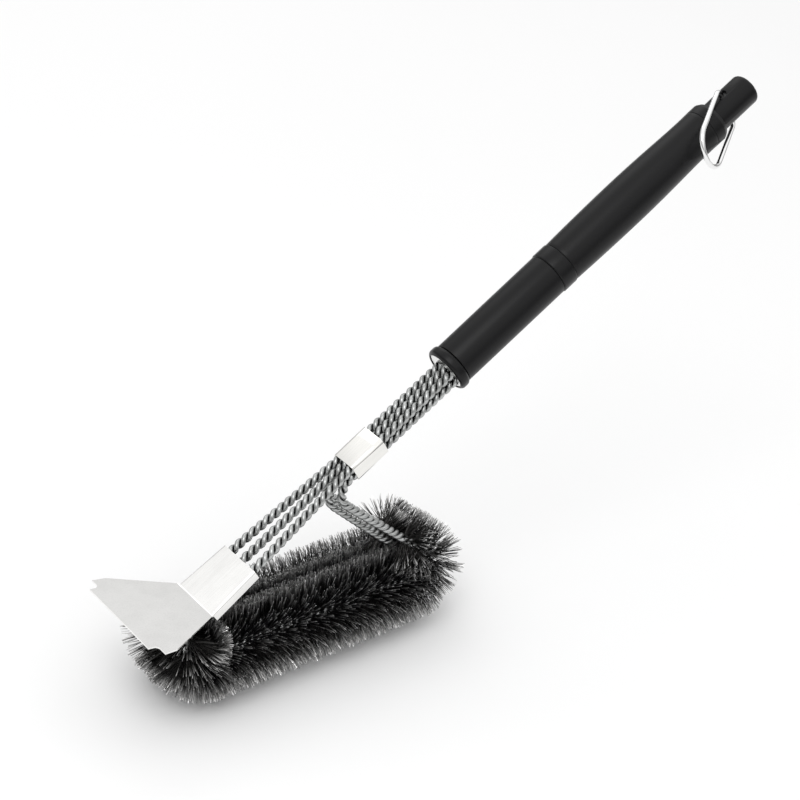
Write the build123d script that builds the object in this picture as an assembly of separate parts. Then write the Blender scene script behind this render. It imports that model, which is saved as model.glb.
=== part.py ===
from build123d import *
import math
import os

# Grill cleaning brush, in millimetres. +X points from the scraper towards the
# handle, +Y is sideways, +Z is up. The origin is under the middle of the brush,
# on the plane that the lowest bristle tips stand on.

# ---- overall arrangement ----
MIDDLE_X = 158.63           # from the front of the rope's bend to the origin
HANDLE_SLOPE = 32.99        # slope of neck and handle, degrees
AXIS_X = 159.54             # one point of the handle's axis, measured from the
AXIS_Z = 122.33             # front of the bend and from the brush cores
TUBE_SIDES = 0.3            # clear gap between bristles and their neighbours

# ---- twisted ropes ----
ROPE_R = 2.1                # mean radius of one two-strand rope
CORE_SPACING = 9.24         # between brush cores, and between ropes in the sleeve
CLIP_SPACING = 5.0          # between ropes at the clip
HANDLE_SPACING = 4.5        # between ropes inside the handle
TOP_ROW_N = 0.9             # height of the top row above the handle's axis
LOW_ROW_N_FRONT = -4.0      # height of the low row at its bend
LOW_ROW_N_REAR = -5.4       # height of the low row at its end in the handle
FRONT_BEND_R = 12.9         # centre-line radius of the front bend
REAR_BEND_R = 6.5           # centre-line radius of the rear bend
HAIRPIN_R = 10.0            # centre-line radius of the bend before the clip
REAR_CORNER = (169.3, 157.1, 165.6)   # where core and riser lines meet: near, middle, far
HAIRPIN_T = (-91.3, -95.2, -92.7)     # where low row and riser lines meet: near, middle, far
LOW_ROW_T_FRONT = -89.7     # where the low row's height is LOW_ROW_N_FRONT
ROPE_END_T = 26.0           # how far the ropes run into the handle

# ---- bristles ----
BRISTLE_R = 24.0            # from core to tips
BRISTLE_FLAT = 0.4          # how far the lowest tips are pressed flat
BRISTLE_GAP = 0.3           # between neighbouring bristle masses
FRONT_FAN = 117.0           # sweep of the front fan round its bend, degrees
REAR_FAN = 128.0            # sweep of the rear fan round its bend, degrees

# ---- scraper ----
SHEET = 0.8                 # sheet thickness of scraper
SLEEVE_T_REAR = -146.0      # rear edge of the sleeve along the axis
SLEEVE_T_FOLD = -175.3      # fold between sleeve and blade
SLEEVE_W = 29.8             # outer width of the sleeve at the fold
SLEEVE_W_REAR = 26.8        # outer width of the sleeve at its rear edge
SLEEVE_H = 7.0              # outer height of the sleeve
SLEEVE_ROUND = 1.8          # outer corner radius of the sleeve
SLEEVE_SEAM = 7.0           # open seam along the sleeve's underside
BLADE_LEN = 44.0            # from fold to front edge
BLADE_RISE = 7.4            # rise of the blade towards its front edge, degrees
BLADE_HALF_FRONT = 26.2     # half length of the straight front edge
EAR_HALF = 32.7             # half width across the two ear tips
EAR_BACK = 5.2              # ear tips behind the front edge
EAR_SIDE_HALF = 32.0        # half width where the taper starts
EAR_SIDE_BACK = 12.5        # start of the taper behind the front edge
FOLD_HALF = 15.3            # half width at the fold
FOLD_R = 1.2                # inner radius of the fold

# ---- clip ----
CLIP_T_FRONT = -75.0
CLIP_LEN = 21.0
CLIP_SHEET = 0.6
CLIP_W = 16.2
CLIP_LOW_N = -7.35
CLIP_TOP_N = 3.8
CLIP_ROUND = 2.6

# ---- handle ----
WASHER_T = -3.7             # front face of the handle
WASHER_THICK = 1.0
WASHER_R = 11.0
ROPE_HOLE_W = 15.4          # hole for the ropes in washer and plug
ROPE_HOLE_ROUND = 4.0
FLANGE_LEN = 5.8
FLANGE_R = 12.85
FLANGE_ROUND = 1.7
FRONT_GRIP_R0 = 11.78
FRONT_GRIP_R1 = 11.93
FRONT_GRIP_T0 = 2.1
BAND_T0 = 71.7
BAND_LEN = 9.2
BAND_R = 12.35
RING_T0 = 189.0
RING_LEN = 8.0
RING_STRAIGHT = 5.7
RING_R = 11.8
RING_END_R = 10.6
CAP_R = 8.8
CAP_END_T = 224.5
CAP_ROUND = 2.6
TUBE_R = 10.0               # outside of the tube inside the handle
TUBE_WALL = 0.5
FIT = 0.05                  # clearance of parts slid over the tube

# ---- hanging loop ----
LOOP_T = 208.0              # its hole along the axis
LOOP_LEAN = 12.0            # lean of the hole from upright, degrees
LOOP_WIRE_R = 1.4
LOOP_RUN = 0.05             # running clearance of the wire in its hole
LOOP_HALF_W = 12.0          # half width between the legs' centre lines
LOOP_REACH = 41.0           # from the hole to the end of the loop
LOOP_CORNER_R = 3.6
LOOP_END_R = 11.2
LOOP_SWING = 60.0           # how far the resting loop lies back, degrees
NOTCH_R = 3.2               # shallow recess round both mouths of the hole
NOTCH_DEPTH = 1.2

SIDES = (("near", -1), ("middle", 0), ("far", 1))
SLEEVE_TOP_N = TOP_ROW_N + ROPE_R + 0.2 + SHEET

slope = math.radians(HANDLE_SLOPE)
along = Vector(math.cos(slope), 0, math.sin(slope))
above = Vector(-math.sin(slope), 0, math.cos(slope))
axis_point = Vector(AXIS_X, 0, AXIS_Z)
sideways = Vector(0, 1, 0)


def on_axis(t, y=0.0, n=0.0):
    """Point at distance t along the handle, y sideways and n above its axis."""
    return axis_point + along * t + sideways * y + above * n


def across_handle(t):
    """Plane square to the handle: its x is up, its z runs towards the end."""
    return Plane(origin=on_axis(t), x_dir=above, z_dir=along)


def turned(profile):
    """Solid of revolution about the handle's axis from (t, radius) corners."""
    plane = Plane(origin=axis_point, x_dir=along, z_dir=sideways * -1)
    with BuildPart() as body:
        with BuildSketch(plane):
            with BuildLine():
                Polyline(*profile, close=True)
            make_face()
        revolve(axis=Axis(axis_point, along))
    return body.part


def rope_points(side):
    """Corners and bend radii of one rope's centre line, from end to end."""
    mid = side == 0
    corner_x = REAR_CORNER[side + 1]
    hairpin_t = HAIRPIN_T[side + 1]
    low_slope = (LOW_ROW_N_REAR - LOW_ROW_N_FRONT) / (ROPE_END_T - LOW_ROW_T_FRONT)
    hairpin_n = LOW_ROW_N_FRONT + low_slope * (hairpin_t - LOW_ROW_T_FRONT)
    end_n = LOW_ROW_N_REAR
    start = on_axis(ROPE_END_T, side * HANDLE_SPACING, TOP_ROW_N)
    clip = on_axis(CLIP_T_FRONT, side * CLIP_SPACING, TOP_ROW_N)
    sleeve = on_axis(SLEEVE_T_REAR + 6.8, side * CORE_SPACING, TOP_ROW_N)
    drop = (sleeve.Z) / along.Z
    front = Vector(sleeve.X - drop * along.X, side * CORE_SPACING, 0)
    rear = Vector(corner_x, side * CORE_SPACING, 0)
    hairpin = on_axis(hairpin_t, side * CLIP_SPACING, hairpin_n)
    end = on_axis(ROPE_END_T, side * HANDLE_SPACING, end_n)
    if mid:
        return [start, front, rear, hairpin, end], [FRONT_BEND_R, REAR_BEND_R, HAIRPIN_R]
    points = [start, clip, sleeve, front, rear, hairpin, end]
    return points, [60, 30, FRONT_BEND_R, REAR_BEND_R, HAIRPIN_R]


def rope(side, radius):
    """Round rope swept along its bent centre line."""
    points, radii = rope_points(side)
    path = FilletPolyline(*points, radius=radii)
    section = Plane(origin=path @ 0, z_dir=path % 0) * Circle(radius)
    return sweep(section, path=path)


def neck_tangent_x():
    """Core-side end of the front bend, measured along X."""
    points, radii = rope_points(0)
    front = points[1]
    return front.X + FRONT_BEND_R / math.tan(math.radians(HANDLE_SLOPE / 2))


def rear_tangent_x(side):
    """Core-side end of the rear bend, measured along X."""
    points, radii = rope_points(side)
    rear = points[2] if side == 0 else points[4]
    riser = (points[3] if side == 0 else points[5]) - rear
    angle = math.atan2(riser.Z, -riser.X)
    return rear.X - REAR_BEND_R / math.tan(angle / 2)


def side_limits(side):
    """Lowest and highest Y of one bristle mass."""
    half = CORE_SPACING / 2
    reach = CORE_SPACING + BRISTLE_R
    if side == 0:
        return -half + BRISTLE_GAP / 2, half - BRISTLE_GAP / 2
    low, high = half + BRISTLE_GAP / 2, reach
    return (low, high) if side > 0 else (-high, -low)


def bristle_section(side):
    """Round section of bristles about one core, cut where the next one starts."""
    low, high = side_limits(side)
    circle = Pos(side * CORE_SPACING, 0) * Circle(BRISTLE_R)
    strip = Pos((low + high) / 2, 0) * Rectangle(high - low, 4 * BRISTLE_R)
    return circle & strip


def fan(side, bend_x, bend_z, sweep_angle, forward):
    """Bristles that radiate round a bend of the core, as part of a turned body."""
    low, high = side_limits(side)
    section = Pos(0, -bend_z) * bristle_section(side)
    half = Pos((low + high) / 2, -100) * Rectangle(high - low, 200)
    face = section & half
    upright = Plane(origin=(bend_x, 0, bend_z), x_dir=(0, 1, 0), z_dir=(1, 0, 0))
    axis = Axis((bend_x, 0, bend_z), (0, 1 if forward else -1, 0))
    return revolve(upright * face, axis=axis, revolution_arc=sweep_angle)


def bristle_run(side, x0, x1):
    """Straight run of bristles from x0 to x1 along one core."""
    plane = Plane(origin=(x0, 0, 0), x_dir=(0, 1, 0), z_dir=(1, 0, 0))
    return extrude(plane * bristle_section(side), amount=x1 - x0)


def bristles(side, bore):
    """The three zones of one rope's bristles: front fan, straight run, rear fan."""
    x0 = neck_tangent_x()
    x1 = rear_tangent_x(side)
    gap = BRISTLE_GAP / 2
    floor = Pos(80, 0, BRISTLE_FLAT - BRISTLE_R - 50) * Box(400, 200, 100)
    front = fan(side, x0 - gap, FRONT_BEND_R, FRONT_FAN, True)
    run = bristle_run(side, x0 + gap, x1 - gap)
    rear = fan(side, x1 + gap, REAR_BEND_R, REAR_FAN, False)
    zones = (front, run, rear)
    return [zone - floor - bore - sleeve_body(-TUBE_SIDES) for zone in zones]


def rounded_tube(width, low, high, corner, wall):
    """Flat rounded tube section in (up, sideways)."""
    outer = RectangleRounded(high - low, width, corner)
    inner = RectangleRounded(high - low - 2 * wall, width - 2 * wall, corner - wall)
    return Pos((low + high) / 2, 0) * (outer - inner)


def sleeve_body(inset):
    """Tapered flat block of the sleeve, drawn in by inset all round."""
    centre_n = SLEEVE_TOP_N - SLEEVE_H / 2
    ends = []
    for t, width in ((SLEEVE_T_FOLD, SLEEVE_W), (SLEEVE_T_REAR, SLEEVE_W_REAR)):
        size = RectangleRounded(SLEEVE_H - 2 * inset, width - 2 * inset, SLEEVE_ROUND - inset)
        ends.append(across_handle(t) * (Pos(centre_n, 0) * size))
    return loft(ends)


def blade_outline():
    """Blade seen from above, with its stepped front corners, before the fold."""
    front = -1.0
    half = [
        (front, BLADE_HALF_FRONT),
        (3.4, BLADE_HALF_FRONT),
        (4.3, BLADE_HALF_FRONT + 0.5),
        (EAR_BACK, BLADE_HALF_FRONT + 1.8),
        (EAR_BACK, EAR_HALF),
        (EAR_SIDE_BACK, EAR_SIDE_HALF),
        (BLADE_LEN, FOLD_HALF),
        (BLADE_LEN + 6, FOLD_HALF),
    ]
    other = [(x, -y) for x, y in reversed(half)]
    return half + other


def scraper():
    """Folded sheet: a flat sleeve round three ropes and a flared blade."""
    seam = Pos(SLEEVE_TOP_N - SLEEVE_H, 0) * Rectangle(2 * SHEET + 1, SLEEVE_SEAM)
    length = SLEEVE_T_REAR - SLEEVE_T_FOLD
    cut = extrude(across_handle(SLEEVE_T_FOLD - 1) * seam, amount=length + 2)
    sleeve = sleeve_body(0) - sleeve_body(SHEET) - cut

    rise = math.radians(BLADE_RISE)
    ahead = Vector(-math.cos(rise), 0, math.sin(rise))
    up = Vector(math.sin(rise), 0, math.cos(rise))
    fold_top = on_axis(SLEEVE_T_FOLD, 0, SLEEVE_TOP_N)
    centre = fold_top + above * FOLD_R
    start = centre - up * FOLD_R
    low_start = centre - up * (FOLD_R + SHEET)
    tip = start + ahead * BLADE_LEN
    low_tip = low_start + ahead * BLADE_LEN
    mid_dir = (above + up).normalized() * -1
    inner_mid = centre + mid_dir * FOLD_R
    outer_mid = centre + mid_dir * (FOLD_R + SHEET)
    fold_low = fold_top - above * SHEET
    edges = [
        ThreePointArc(fold_top, inner_mid, start),
        Line(start, tip),
        Line(tip, low_tip),
        Line(low_tip, low_start),
        ThreePointArc(low_start, outer_mid, fold_low),
        Line(fold_low, fold_top),
    ]
    side_view = make_face(edges)
    strip = extrude(side_view, amount=EAR_HALF + 5, dir=(0, 1, 0), both=True)
    corners = [(tip.X + x, y) for x, y in blade_outline()]
    plan = make_face(Polyline(*corners, close=True))
    prism = extrude(plan, amount=200)
    return sleeve + (strip & prism)


def wire_clip():
    """Flat rounded band closed round all six ropes of the neck."""
    section = rounded_tube(CLIP_W, CLIP_LOW_N, CLIP_TOP_N, CLIP_ROUND, CLIP_SHEET)
    return extrude(across_handle(CLIP_T_FRONT) * section, amount=CLIP_LEN)


def rope_hole(t, length):
    """Rounded opening that the bundle of ropes runs through."""
    low = LOW_ROW_N_REAR - ROPE_R - 0.6
    high = TOP_ROW_N + ROPE_R + 0.5
    section = Pos((low + high) / 2, 0) * RectangleRounded(high - low, ROPE_HOLE_W, ROPE_HOLE_ROUND)
    return extrude(across_handle(t) * section, amount=length)


def front_washer():
    """Bright metal disc that closes the front of the handle."""
    t1 = WASHER_T + WASHER_THICK
    disc = turned([(WASHER_T, 0), (WASHER_T, WASHER_R), (t1, WASHER_R), (t1, 0)])
    return disc - rope_hole(WASHER_T - 1, WASHER_THICK + 2)


def front_flange():
    """Rounded bead round the washer at the front of the grip."""
    t0 = WASHER_T - 0.4
    t1 = WASHER_T + FLANGE_LEN
    seat = WASHER_T + WASHER_THICK
    bead = turned([(t0, 0), (t0, FLANGE_R), (t1, FLANGE_R), (t1, 0)])
    rims = bead.edges().filter_by(GeomType.CIRCLE)
    bead = fillet(rims, radius=FLANGE_ROUND)
    recess = turned([(t0 - 1, 0), (t0 - 1, WASHER_R + FIT), (seat, WASHER_R + FIT), (seat, 0)])
    bore = turned([(t0, 0), (t0, TUBE_R + FIT), (t1 + 1, TUBE_R + FIT), (t1 + 1, 0)])
    return bead - recess - bore


def grip(profile):
    """Moulded grip section slid over the handle's tube."""
    bore = [(profile[-1][0], TUBE_R + FIT), (profile[0][0], TUBE_R + FIT)]
    return turned(profile + bore)


def grip_front():
    return grip([(FRONT_GRIP_T0, FRONT_GRIP_R0), (BAND_T0, FRONT_GRIP_R1)])


def centre_band():
    t0 = BAND_T0
    t1 = BAND_T0 + BAND_LEN
    outline = [
        (t0, FRONT_GRIP_R1 - 0.2),
        (t0 + 0.5, BAND_R - 0.15),
        (t0 + 1.2, BAND_R),
        (t1 - 1.2, BAND_R),
        (t1 - 0.5, BAND_R - 0.15),
        (t1, FRONT_GRIP_R1),
    ]
    return grip(outline)


def grip_rear():
    """Swelling rear section; its outline runs through these (t, radius) stations."""
    stations = [
        (BAND_T0 + BAND_LEN, 11.95),
        (90.0, 12.25),
        (101.0, 12.48),
        (113.0, 12.7),
        (126.0, 12.8),
        (141.0, 12.68),
        (156.7, 12.38),
        (167.0, 12.02),
        (176.0, 11.75),
        (RING_T0, RING_R),
    ]
    plane = Plane(origin=axis_point, x_dir=along, z_dir=sideways * -1)
    bore = TUBE_R + FIT
    with BuildPart() as body:
        with BuildSketch(plane):
            with BuildLine():
                Spline(*stations)
                Line(stations[-1], (RING_T0, bore))
                Line((RING_T0, bore), (stations[0][0], bore))
                Line((stations[0][0], bore), stations[0])
            make_face()
        revolve(axis=Axis(axis_point, along))
    return body.part


def shoulder_ring():
    t1 = RING_T0 + RING_LEN
    outline = [(RING_T0, RING_R), (RING_T0 + RING_STRAIGHT, RING_R), (t1, RING_END_R)]
    return grip(outline)


def handle_tube():
    """Thin tube that carries the grip sections."""
    t0 = WASHER_T + WASHER_THICK
    t1 = RING_T0 + RING_LEN - 0.5
    return turned([(t0, TUBE_R - TUBE_WALL), (t0, TUBE_R), (t1, TUBE_R), (t1, TUBE_R - TUBE_WALL)])


def rope_plug():
    """Plug inside the tube that holds the rope ends."""
    t0 = 6.0
    radius = TUBE_R - TUBE_WALL - FIT
    plug = turned([(t0, 0), (t0, radius), (ROPE_END_T - 1, radius), (ROPE_END_T - 1, 0)])
    for name, side in SIDES:
        plug -= rope(side, ROPE_R + 0.05)
    return plug


def loop_plane():
    """Plane of the resting loop: its x runs out along the loop, its y up the hole."""
    lean = math.radians(LOOP_LEAN)
    swing = math.radians(LOOP_SWING)
    hole = sideways * math.sin(lean) + above * math.cos(lean)
    side = sideways * math.cos(lean) - above * math.sin(lean)
    out = side * -math.cos(swing) - along * math.sin(swing)
    return Plane(origin=on_axis(LOOP_T), x_dir=out, z_dir=out.cross(hole))


def hanging_loop():
    """Closed wire loop through the cap's cross hole."""
    plane = loop_plane()
    halves = []
    for end in (-1, 1):
        w = end * LOOP_HALF_W
        corners = [(0, 0), (0, w), (LOOP_REACH, w), (LOOP_REACH, 0)]
        places = [plane.from_local_coords(Vector(x, y, 0)) for x, y in corners]
        path = FilletPolyline(*places, radius=[LOOP_CORNER_R, LOOP_END_R])
        section = Plane(origin=path @ 0, z_dir=path % 0) * Circle(LOOP_WIRE_R)
        halves.append(sweep(section, path=path))
    return halves[0] + halves[1]


def end_cap():
    """Turned plug that closes the handle, with the loop's cross hole."""
    t0 = RING_T0 + RING_LEN
    inner = TUBE_R - TUBE_WALL - FIT
    plug = turned([(t0 - 14, 0), (t0 - 14, inner), (t0 - 0.4, inner), (t0 - 0.4, 0)])
    collar = turned([(t0 - 0.4, 0), (t0 - 0.4, TUBE_R), (t0, TUBE_R), (t0, 0)])
    nose = turned([(t0, 0), (t0, CAP_R), (CAP_END_T, CAP_R), (CAP_END_T, 0)])
    end_rim = nose.edges().filter_by(GeomType.CIRCLE).sort_by(Axis(axis_point, along))[-1]
    cap = plug + collar + fillet(end_rim, radius=CAP_ROUND)
    hole_dir = loop_plane().y_dir
    centre = on_axis(LOOP_T)
    hole = Plane(origin=centre, z_dir=hole_dir) * Cylinder(LOOP_WIRE_R + LOOP_RUN, 40)
    cap -= hole
    for end in (-1, 1):
        mouth = centre + hole_dir * (end * (CAP_R + 5 - NOTCH_DEPTH))
        cap -= Plane(origin=mouth, z_dir=hole_dir) * Cylinder(NOTCH_R, 10)
    return cap


def save(shape, node):
    """Move one piece from the bend's frame to the part's frame and write it."""
    placed = Pos(-MIDDLE_X, 0, BRISTLE_R - BRISTLE_FLAT) * shape
    solids = placed.solids()
    box = placed.bounding_box()
    print(node, len(solids), round(placed.volume, 1), [round(v, 2) for v in (*box.min, *box.max)])
    export_step(solids[0] if len(solids) == 1 else placed, "parts/" + node + ".step")


def main():
    os.makedirs("parts", exist_ok=True)
    save(scraper(), "scraper")
    save(wire_clip(), "wire_clip")
    for name, side in SIDES:
        save(rope(side, ROPE_R), "rope_" + name)
        bore = rope(side, ROPE_R + TUBE_SIDES)
        front, run, rear = bristles(side, bore)
        save(front, "bristles_" + name + "_front")
        save(run, "bristles_" + name + "_run")
        save(rear, "bristles_" + name + "_rear")
    save(front_washer(), "front_washer")
    save(front_flange(), "front_flange")
    save(grip_front(), "grip_front")
    save(centre_band(), "centre_band")
    save(grip_rear(), "grip_rear")
    save(shoulder_ring(), "shoulder_ring")
    save(handle_tube(), "handle_tube")
    save(rope_plug(), "rope_plug")
    save(end_cap(), "end_cap")
    save(hanging_loop(), "hanging_loop")


if __name__ == "__main__":
    main()
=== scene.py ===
"""Grill cleaning brush: looks of the scraper, twisted ropes, bristles, handle and loop."""

import logging
import math
from dataclasses import dataclass, field
from enum import Enum
from typing import Optional, Sequence

import bmesh
import bpy
import numpy as np
from mathutils import Matrix


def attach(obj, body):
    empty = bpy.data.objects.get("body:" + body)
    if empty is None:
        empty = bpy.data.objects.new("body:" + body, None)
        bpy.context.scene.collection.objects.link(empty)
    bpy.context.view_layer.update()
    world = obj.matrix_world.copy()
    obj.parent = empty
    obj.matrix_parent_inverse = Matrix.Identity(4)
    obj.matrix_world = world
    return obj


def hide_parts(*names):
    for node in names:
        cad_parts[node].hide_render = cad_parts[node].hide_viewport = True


logging.basicConfig(level=logging.INFO, format="%(message)s")
LOG = logging.getLogger("brush")

MM = 0.001
Array = np.ndarray
Object, Material = bpy.types.Object, bpy.types.Material
Tree, Node, Socket = bpy.types.NodeTree, bpy.types.Node, bpy.types.NodeSocket
SIDEWAYS = np.array([0.0, 1.0, 0.0])
CORE_LIFT = 23.6  # height of the brush cores above the floor
FRONT_BEND_R = 12.9
X_SHIFT = 158.63  # from the brush's own x to the scene's x
LOW_ROW_T = -89.7  # where the low row of ropes reaches its front height


class Side(Enum):
    """The three ropes, by where they lie across the brush."""

    NEAR = -1
    MIDDLE = 0
    FAR = 1

    @property
    def word(self) -> str:
        """Name used in the node names."""
        return self.name.lower()


class Zone(Enum):
    """The three stretches of bristles along one rope."""

    FRONT = "front"
    RUN = "run"
    REAR = "rear"


# ---- geometry in whole arrays, in millimetres ----


def unit(v: Array) -> Array:
    """Each vector divided by its length."""
    return v / np.maximum(np.linalg.norm(v, axis=-1, keepdims=True), 1e-12)


@dataclass(frozen=True)
class HandleAxis:
    """The sloping line that neck and handle share.

    A point is F + t*d + y*Y + n*N: t along the handle, y sideways, n square to
    both, upwards.
    """

    slope: float = math.radians(32.99)
    x: float = 0.91
    z: float = 145.93

    @property
    def origin(self) -> Array:
        """The point F of the axis."""
        return np.array([self.x, 0.0, self.z])

    @property
    def along(self) -> Array:
        """Unit vector d towards the handle's end."""
        return np.array([math.cos(self.slope), 0.0, math.sin(self.slope)])

    @property
    def above(self) -> Array:
        """Unit vector N, square to the axis and upwards."""
        return np.array([-math.sin(self.slope), 0.0, math.cos(self.slope)])

    def at(self, t: Array, y: Array = 0.0, n: Array = 0.0) -> Array:
        """Points F + t*d + y*Y + n*N.

        Args:
            t: distances along the axis.
            y: distances sideways.
            n: heights square to the axis.

        Returns:
            Array of points, one row each.
        """
        t, y, n = np.broadcast_arrays(np.asarray(t, float), y, n)
        return self.origin + t[..., None] * self.along + y[..., None] * SIDEWAYS + n[..., None] * self.above


AXIS = HandleAxis()


def corner_arc(before: Array, corner: Array, after: Array, r: float, step: Optional[float]) -> Array:
    """Arc of radius r that rounds a corner and touches both of its sides.

    With directions a and b and turn angle k, it is P + r*(sin(q)*a + (1 - cos(q))*m)
    for q from 0 to k, where m is the part of b square to a and P lies r*tan(k/2)
    before the corner.

    Args:
        before: the corner before.
        corner: the corner to round.
        after: the corner after.
        r: arc radius.
        step: distance between samples, or None for eight equal parts.

    Returns:
        Points along the arc.
    """
    a, b = unit(corner - before), unit(after - corner)
    turn = math.acos(float(np.clip(a @ b, -1, 1)))
    start = corner - a * r * math.tan(turn / 2)
    count = 9 if step is None else max(3, int(r * turn / step) + 2)
    q = np.linspace(0, turn, count)[:, None]
    return start + r * (np.sin(q) * a + (1 - np.cos(q)) * unit(b - (a @ b) * a))


def rounded_path(corners: Array, radii: Sequence[float], step: float) -> Array:
    """Straight runs joined by tangent arcs, sampled at an even step.

    Args:
        corners: points of the route, one row each.
        radii: arc radius at each inner corner.
        step: distance between samples.

    Returns:
        Points along the route.
    """
    corners = np.asarray(corners, float)
    pieces = [corners[:1]]
    for *trio, r in zip(corners[:-2], corners[1:-1], corners[2:], radii):
        pieces.append(corner_arc(*trio, r, step))
    pieces.append(corners[-1:])
    return even_steps(np.vstack(pieces), step)


def even_steps(points: Array, step: float) -> Array:
    """The same line with its points the same distance apart.

    Args:
        points: points along a line.
        step: wanted distance between them.

    Returns:
        New points along the line.
    """
    length = np.concatenate([[0], np.cumsum(np.linalg.norm(np.diff(points, axis=0), axis=1))])
    s = np.linspace(0, length[-1], max(2, int(round(length[-1] / step)) + 1))
    return np.stack([np.interp(s, length, points[:, k]) for k in range(points.shape[1])], axis=1)


def frames(path: Array, side: Array) -> tuple[Array, Array, Array]:
    """Tangent, side and normal vectors along a line.

    The side vector is the given one with its part along the tangent taken away.

    Args:
        path: points along the line.
        side: wanted side vector, one for all points or one each.

    Returns:
        Arrays of tangents, sides and normals.
    """
    tangent = unit(np.gradient(path, axis=0))
    across = unit(side - (tangent * side).sum(axis=1, keepdims=True) * tangent)
    return tangent, across, np.cross(tangent, across)


def tube(path: Array, radius: float, around: int, side: Array) -> Array:
    """Round tube: path + radius*(cos(q)*side + sin(q)*normal).

    Args:
        path: centre line.
        radius: tube radius.
        around: points round the tube.
        side: side vector, or one for each point.

    Returns:
        Grid of points, rows along the path and columns round it.
    """
    _, across, up = frames(path, side)
    q = np.linspace(0, 2 * math.pi, around, endpoint=False)
    return path[:, None] + radius * (np.cos(q)[:, None] * across[:, None] + np.sin(q)[:, None] * up[:, None])


def grid_quads(rows: int, cols: int, wrap_rows: bool, wrap_cols: bool, first: int = 0) -> Array:
    """Quads of a grid of points, closed in either direction if asked.

    Args:
        rows: number of rows.
        cols: number of columns.
        wrap_rows: whether the last row joins the first.
        wrap_cols: whether the last column joins the first.
        first: index of the grid's first point.

    Returns:
        Array of four point indices a quad.
    """
    i = np.arange(rows if wrap_rows else rows - 1)
    j = np.arange(cols if wrap_cols else cols - 1)
    i, j = np.meshgrid(i, j, indexing="ij")
    k, m = (i + 1) % rows, (j + 1) % cols
    quads = np.stack([i * cols + j, i * cols + m, k * cols + m, k * cols + j], axis=-1)
    return quads.reshape(-1, 4) + first


def outward(points: Array, faces: Sequence[Array]) -> list[Array]:
    """Faces turned so that the closed surface holds a positive volume.

    The volume is a sixth of the sum of a.(b x c) over the fan of each face.

    Args:
        points: all points.
        faces: arrays of faces, each with the same number of corners inside.

    Returns:
        The faces, turned round if the volume was negative.
    """
    volume = 0.0
    for group in faces:
        for k in range(1, group.shape[1] - 1):
            a, b, c = points[group[:, 0]], points[group[:, k]], points[group[:, k + 1]]
            volume += float((a * np.cross(b, c)).sum())
    return [group[:, ::-1] for group in faces] if volume < 0 else list(faces)


def put_mesh(name: str, points: Array, faces: Sequence[Array], smooth: Optional[float] = 40.0) -> Object:
    """A new mesh object from arrays, in the scene's metres.

    Args:
        name: object name.
        points: points in millimetres.
        faces: arrays of faces, one array for each number of corners.
        smooth: angle in degrees above which an edge stays sharp, or None for flat.

    Returns:
        The object, linked to the scene.
    """
    mesh = bpy.data.meshes.new(name)
    mesh.vertices.add(len(points))
    mesh.vertices.foreach_set("co", (points * MM).astype(np.float32).ravel())
    loops = np.concatenate([group.ravel() for group in faces]).astype(np.int32)
    sizes = np.concatenate([np.full(len(group), group.shape[1]) for group in faces])
    starts = np.concatenate([[0], np.cumsum(sizes)[:-1]]).astype(np.int32)
    mesh.loops.add(len(loops))
    mesh.loops.foreach_set("vertex_index", loops)
    mesh.polygons.add(len(starts))
    mesh.polygons.foreach_set("loop_start", starts)
    mesh.update(calc_edges=True)
    mesh.validate()
    mesh.polygons.foreach_set("use_smooth", np.full(len(mesh.polygons), smooth is not None))
    if smooth is not None:
        mesh.set_sharp_from_angle(angle=math.radians(smooth))
    obj = bpy.data.objects.new(name, mesh)
    bpy.context.scene.collection.objects.link(obj)
    return obj


def store(obj: Object, label: str, values: Array) -> None:
    """Stores one number for each point of a piece under a name."""
    layer = obj.data.attributes.new(label, "FLOAT", "POINT")
    layer.data.foreach_set("value", np.ascontiguousarray(values, np.float32).ravel())


def turned(name: str, corners: Array, radii: Sequence[float], around: int = 128) -> Object:
    """Closed ring turned about the handle's axis: F + t*d + r*(cos(q)*N + sin(q)*Y).

    Args:
        name: object name.
        corners: (t, r) corners of the closed outline, the first repeated last.
        radii: rounding at each inner corner.
        around: points round the axis.

    Returns:
        The object.
    """
    outline = rounded_outline(corners, radii)
    q = np.linspace(0, 2 * math.pi, around, endpoint=False)
    t, r = outline[:, 0][:, None], outline[:, 1][:, None]
    grid = AXIS.at(t + 0 * q, r * np.sin(q), r * np.cos(q))
    faces = outward(grid.reshape(-1, 3), [grid_quads(len(outline), around, True, True)])
    return put_mesh(name, grid.reshape(-1, 3), faces, 35)


def rounded_outline(corners: Array, radii: Sequence[float]) -> Array:
    """Closed (t, r) outline with an arc of eight parts at each rounded corner.

    Args:
        corners: corners with the first repeated last.
        radii: rounding at each inner corner, 0 for a sharp one.

    Returns:
        Points of the outline, without the repeated one.
    """
    corners = np.asarray(corners, float)
    pieces = [corners[:1]]
    for *trio, r in zip(corners[:-2], corners[1:-1], corners[2:], radii):
        pieces.append(corner_arc(*trio, r, None) if r > 0 else trio[1][None])
    return np.vstack(pieces)


# ---- shared effects, each a node group ----


def new_group(name: str, inputs: dict[str, float], outputs: dict[str, str]) -> Tree:
    """An empty shader node group with named sockets.

    Args:
        name: group name.
        inputs: float inputs with their default values.
        outputs: outputs with their socket types.

    Returns:
        The group, with its input and output nodes placed.
    """
    group = bpy.data.node_groups.new(name, "ShaderNodeTree")
    for label, value in inputs.items():
        socket = group.interface.new_socket(label, in_out="INPUT", socket_type="NodeSocketFloat")
        socket.default_value = value
    for label, kind in outputs.items():
        group.interface.new_socket(label, in_out="OUTPUT", socket_type=kind)
    group.nodes.new("NodeGroupInput").name = "in"
    group.nodes.new("NodeGroupOutput").name = "out"
    return group


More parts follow.
